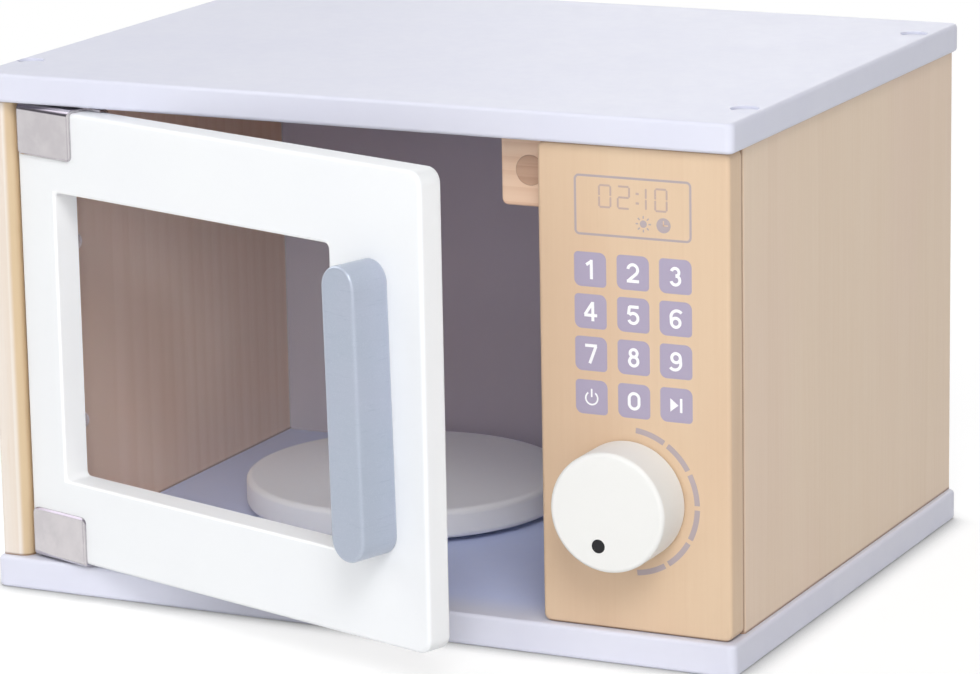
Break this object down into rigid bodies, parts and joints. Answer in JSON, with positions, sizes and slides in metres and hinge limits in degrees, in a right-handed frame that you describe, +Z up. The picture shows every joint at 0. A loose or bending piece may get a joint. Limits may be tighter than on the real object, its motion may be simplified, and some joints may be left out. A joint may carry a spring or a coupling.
{
  "type": "toy oven",
  "caption": "Wooden toy oven: painted top and bottom boards, natural wood sides, a white framed glazed door ajar on pivot clips, a control panel with a knob, and a turntable.",
  "frame": {"origin": "middle of the bottom board's underside, where the cabinet stands; the ajar door is left out of it", "axes": "+X to the right seen from the front, +Y to the back, +Z up; the door and the controls look along -Y"},
  "size_m": [0.3018, 0.2928, 0.197],
  "materials": {
    "lavender_paint": "smooth satin paint",
    "birch": "clear matt varnish",
    "tan_wood": "clear matt varnish",
    "dark_plug_wood": "clear matt varnish",
    "white_paint": "smooth satin paint",
    "blue_grey_paint": "smooth satin paint",
    "black_paint": "smooth satin paint",
    "clear_sheet": "clear and polished",
    "polished_nickel": "polished",
    "zinc_steel": "bright zinc",
    "magnet_metal": "nickel plated",
    "nylon": "moulded"
  },
  "bodies": {
    "cabinet": {"top_panel": "lavender_paint", "bottom_panel": "lavender_paint", "left_side": "birch", "right_side": "tan_wood", "back_panel": "white_paint", "control_panel": "birch", "stop_block": "birch", "catch_magnet": "magnet_metal", "magnet_plug": "dark_plug_wood", "top_screws": "zinc_steel", "top_caps": "lavender_paint", "bottom_screws": "zinc_steel", "panel_dowels": "birch", "hinge_bushes": "nylon", "knob_bush": "nylon", "turntable_pin": "zinc_steel", "turntable_washer": "nylon"},
    "door": {"door_frame": "white_paint", "door_window": "clear_sheet", "window_screws": "zinc_steel", "hinge_clip_top": "polished_nickel", "hinge_clip_bottom": "polished_nickel", "hinge_pins": "zinc_steel", "clip_screws": "zinc_steel", "door_handle": "blue_grey_paint", "handle_screws": "zinc_steel", "catch_plate": "zinc_steel", "catch_screw": "zinc_steel"},
    "knob": {"knob": "white_paint", "knob_dot": "black_paint", "knob_screw": "zinc_steel", "knob_washer_front": "nylon", "knob_washer_back": "zinc_steel"},
    "turntable": {"turntable": "white_paint"}
  },
  "joints": [
    {"name": "door_hinge", "type": "hinge", "parent": "cabinet", "child": "door", "pos_m": [-0.1287, -0.1047, 0.0985], "axis": [0, 0, -1], "range_deg": [-17.3, 102.7]},
    {"name": "knob_turn", "type": "hinge", "parent": "cabinet", "child": "knob", "pos_m": [0.1097, -0.1095, 0.06], "axis": [0, -1, 0], "continuous": true},
    {"name": "turntable_spin", "type": "hinge", "parent": "cabinet", "child": "turntable", "pos_m": [-0.0407, 0.0129, 0.0181], "axis": [0, 0, 1], "continuous": true}
  ]
}
